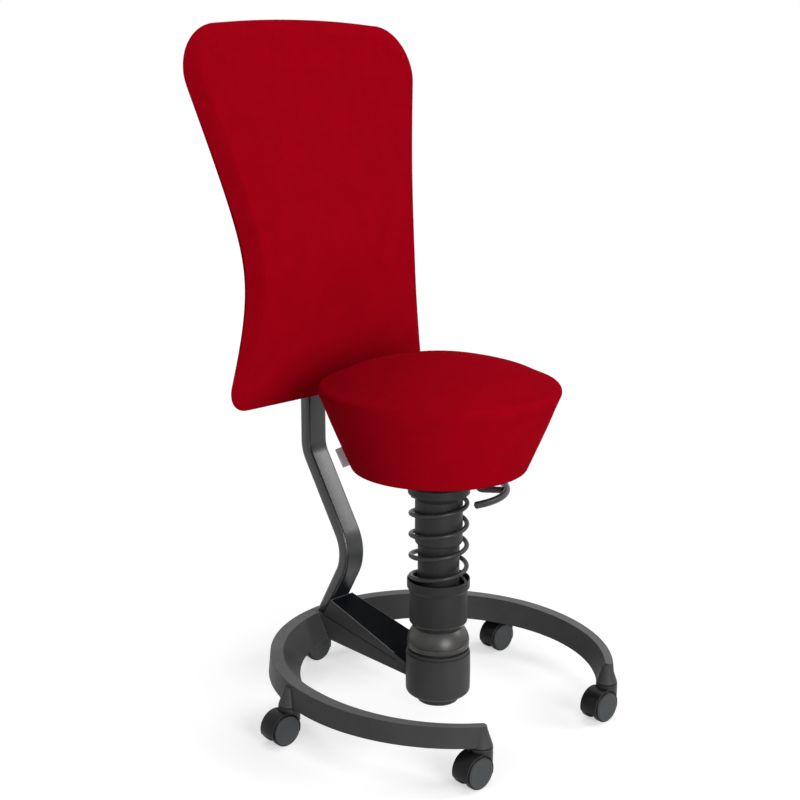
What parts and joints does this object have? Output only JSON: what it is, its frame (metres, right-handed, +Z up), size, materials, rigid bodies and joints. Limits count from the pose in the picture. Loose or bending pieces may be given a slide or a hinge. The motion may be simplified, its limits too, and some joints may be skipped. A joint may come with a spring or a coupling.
{
  "type": "spring balance stool",
  "caption": "Leaning spring stool on an open castor ring, with a round cone-shaped red seat, height lever and tall hourglass backrest on a bent mast",
  "frame": {"origin": "Middle of the part's box, on the floor", "axes": "+Z up, -Y towards the sitter's front and the ring's opening, +X to the sitter's left"},
  "size_m": [0.6092, 0.6088, 1.1534],
  "materials": {
    "red_fabric": "soft woven red upholstery",
    "grey_paint": "satin anthracite powder coat",
    "dark_paint": "satin near-black powder coat",
    "black_panel": "smooth near-black inlay",
    "rubber": "smooth black rubber",
    "black_plastic": "glossy black moulding",
    "grey_plastic": "dark grey moulding",
    "steel": "plain steel",
    "board": "plain plywood",
    "label": "light grey woven label, blank"
  },
  "bodies": {
    "base": {"base_ring": "grey_paint", "foot_housing": "dark_paint", "rubber_bearing": "rubber", "rubber_collar": "rubber", "base_arm": "grey_paint", "arm_bracket": "grey_paint", "arm_cover": "black_panel", "mast": "grey_paint", "castor_front_right_stem": "steel", "castor_side_right_stem": "steel", "castor_back_stem": "steel", "castor_side_left_stem": "steel", "castor_front_left_stem": "steel"},
    "dial": {"tension_dial": "black_plastic"},
    "backrest": {"backrest_cushion": "red_fabric", "backrest_board": "board", "backrest_rear_cover": "red_fabric", "mast_clamp": "black_plastic"},
    "knob": {"clamp_knob": "black_plastic"},
    "liner": {"ball_liner": "grey_plastic"},
    "column": {"pivot_ball": "steel", "joint_skirt": "dark_paint", "spring_cup": "dark_paint", "lower_tube": "grey_paint"},
    "carriage": {"upper_tube": "dark_paint", "guide_bush": "grey_plastic", "spring_cap": "dark_paint", "stand_tube": "steel", "piston_rod": "steel", "coil_spring": "dark_paint"},
    "lift": {"gas_cylinder": "dark_paint"},
    "button": {"release_button": "steel"},
    "seat": {"seat_hub": "dark_paint", "seat_plate": "steel", "seat_pan": "board", "seat_cushion": "red_fabric", "seat_tag": "label", "lever_bracket": "steel", "lever_pin": "steel"},
    "lever": {"height_lever": "dark_paint"},
    "castor_front_right": {"castor_front_right_body": "black_plastic", "castor_front_right_axle": "steel"},
    "castor_front_right_wheel_a": {"castor_front_right_wheel_a": "grey_plastic"},
    "castor_front_right_wheel_b": {"castor_front_right_wheel_b": "grey_plastic"},
    "castor_side_right": {"castor_side_right_body": "black_plastic", "castor_side_right_axle": "steel"},
    "castor_side_right_wheel_a": {"castor_side_right_wheel_a": "grey_plastic"},
    "castor_side_right_wheel_b": {"castor_side_right_wheel_b": "grey_plastic"},
    "castor_back": {"castor_back_body": "black_plastic", "castor_back_axle": "steel"},
    "castor_back_wheel_a": {"castor_back_wheel_a": "grey_plastic"},
    "castor_back_wheel_b": {"castor_back_wheel_b": "grey_plastic"},
    "castor_side_left": {"castor_side_left_body": "black_plastic", "castor_side_left_axle": "steel"},
    "castor_side_left_wheel_a": {"castor_side_left_wheel_a": "grey_plastic"},
    "castor_side_left_wheel_b": {"castor_side_left_wheel_b": "grey_plastic"},
    "castor_front_left": {"castor_front_left_body": "black_plastic", "castor_front_left_axle": "steel"},
    "castor_front_left_wheel_a": {"castor_front_left_wheel_a": "grey_plastic"},
    "castor_front_left_wheel_b": {"castor_front_left_wheel_b": "grey_plastic"}
  },
  "joints": [
    {"name": "tilt_front_back", "type": "hinge", "parent": "base", "child": "liner", "pos_m": [0.01523, -0.04523, 0.07537], "axis": [1, 0, 0], "range_deg": [-2, 10], "stiffness_Nm_per_rad": 260},
    {"name": "tilt_side", "type": "hinge", "parent": "liner", "child": "column", "pos_m": [0.01523, -0.04523, 0.07537], "axis": [0, 1, 0], "range_deg": [-8, 8], "stiffness_Nm_per_rad": 260},
    {"name": "seat_bounce", "type": "slide", "parent": "column", "child": "carriage", "axis": [0, 0, 1], "range_m": [-0.04, 0], "stiffness_N_per_m": 15000, "springref_m": 0.012, "deforming": ["coil_spring"]},
    {"name": "seat_height", "type": "slide", "parent": "carriage", "child": "lift", "axis": [0, 0, 1], "range_m": [-0.05, 0.05]},
    {"name": "seat_swivel", "type": "hinge", "parent": "lift", "child": "seat", "pos_m": [0.01523, -0.04523, 0.45237], "axis": [0, 0, 1], "continuous": true},
    {"name": "height_lever_lift", "type": "hinge", "parent": "seat", "child": "lever", "pos_m": [0.04231, -0.08117, 0.48287], "axis": [-0.7986, -0.6018, 0], "range_deg": [0, 5], "stiffness_Nm_per_rad": 0.8, "springref_deg": -8.59},
    {"name": "release_press", "type": "slide", "parent": "lift", "child": "button", "axis": [0, 0, 1], "range_m": [-0.0047, 0]},
    {"name": "tension_turn", "type": "hinge", "parent": "base", "child": "dial", "pos_m": [0.01523, -0.04523, 0.02087], "axis": [0, 0, 1], "range_deg": [0, 270]},
    {"name": "backrest_height", "type": "slide", "parent": "base", "child": "backrest", "axis": [0, 0, 1], "range_m": [-0.03, 0.03]},
    {"name": "knob_turn", "type": "hinge", "parent": "backrest", "child": "knob", "pos_m": [0.01523, 0.2853, 0.64637], "axis": [0, 1, 0], "range_deg": [-180, 180]},
    {"name": "castor_front_right_turn", "type": "hinge", "parent": "base", "child": "castor_front_right", "pos_m": [-0.14624, -0.28497, 0], "axis": [0, 0, 1], "continuous": true},
    {"name": "castor_front_right_roll_a", "type": "hinge", "parent": "castor_front_right", "child": "castor_front_right_wheel_a", "pos_m": [-0.16449, -0.28356, 0.02637], "axis": [-0.0767, -0.9971, 0], "continuous": true},
    {"name": "castor_front_right_roll_b", "type": "hinge", "parent": "castor_front_right", "child": "castor_front_right_wheel_b", "pos_m": [-0.16449, -0.28356, 0.02637], "axis": [-0.0767, -0.9971, 0], "continuous": true},
    {"name": "castor_side_right_turn", "type": "hinge", "parent": "base", "child": "castor_side_right", "pos_m": [-0.25612, 0.03528, 0], "axis": [0, 0, 1], "continuous": true},
    {"name": "castor_side_right_roll_a", "type": "hinge", "parent": "castor_side_right", "child": "castor_side_right_wheel_a", "pos_m": [-0.27436, 0.03669, 0.02637], "axis": [-0.0767, -0.9971, 0], "continuous": true},
    {"name": "castor_side_right_roll_b", "type": "hinge", "parent": "castor_side_right", "child": "castor_side_right_wheel_b", "pos_m": [-0.27436, 0.03669, 0.02637], "axis": [-0.0767, -0.9971, 0], "continuous": true},
    {"name": "castor_back_turn", "type": "hinge", "parent": "base", "child": "castor_back", "pos_m": [0.01523, 0.25087, 0], "axis": [0, 0, 1], "continuous": true},
    {"name": "castor_back_roll_a", "type": "hinge", "parent": "castor_back", "child": "castor_back_wheel_a", "pos_m": [-0.00302, 0.25227, 0.02637], "axis": [-0.0767, -0.9971, 0], "continuous": true},
    {"name": "castor_back_roll_b", "type": "hinge", "parent": "castor_back", "child": "castor_back_wheel_b", "pos_m": [-0.00302, 0.25227, 0.02637], "axis": [-0.0767, -0.9971, 0], "continuous": true},
    {"name": "castor_side_left_turn", "type": "hinge", "parent": "base", "child": "castor_side_left", "pos_m": [0.28657, 0.03528, 0], "axis": [0, 0, 1], "continuous": true},
    {"name": "castor_side_left_roll_a", "type": "hinge", "parent": "castor_side_left", "child": "castor_side_left_wheel_a", "pos_m": [0.26833, 0.03669, 0.02637], "axis": [-0.0767, -0.9971, 0], "continuous": true},
    {"name": "castor_side_left_roll_b", "type": "hinge", "parent": "castor_side_left", "child": "castor_side_left_wheel_b", "pos_m": [0.26833, 0.03669, 0.02637], "axis": [-0.0767, -0.9971, 0], "continuous": true},
    {"name": "castor_front_left_turn", "type": "hinge", "parent": "base", "child": "castor_front_left", "pos_m": [0.1767, -0.28497, 0], "axis": [0, 0, 1], "continuous": true},
    {"name": "castor_front_left_roll_a", "type": "hinge", "parent": "castor_front_left", "child": "castor_front_left_wheel_a", "pos_m": [0.15845, -0.28356, 0.02637], "axis": [-0.0767, -0.9971, 0], "continuous": true},
    {"name": "castor_front_left_roll_b", "type": "hinge", "parent": "castor_front_left", "child": "castor_front_left_wheel_b", "pos_m": [0.15845, -0.28356, 0.02637], "axis": [-0.0767, -0.9971, 0], "continuous": true}
  ],
  "couplings": [
    {"joint": "release_press", "follows": "height_lever_lift", "m_per_rad": -0.051}
  ]
}
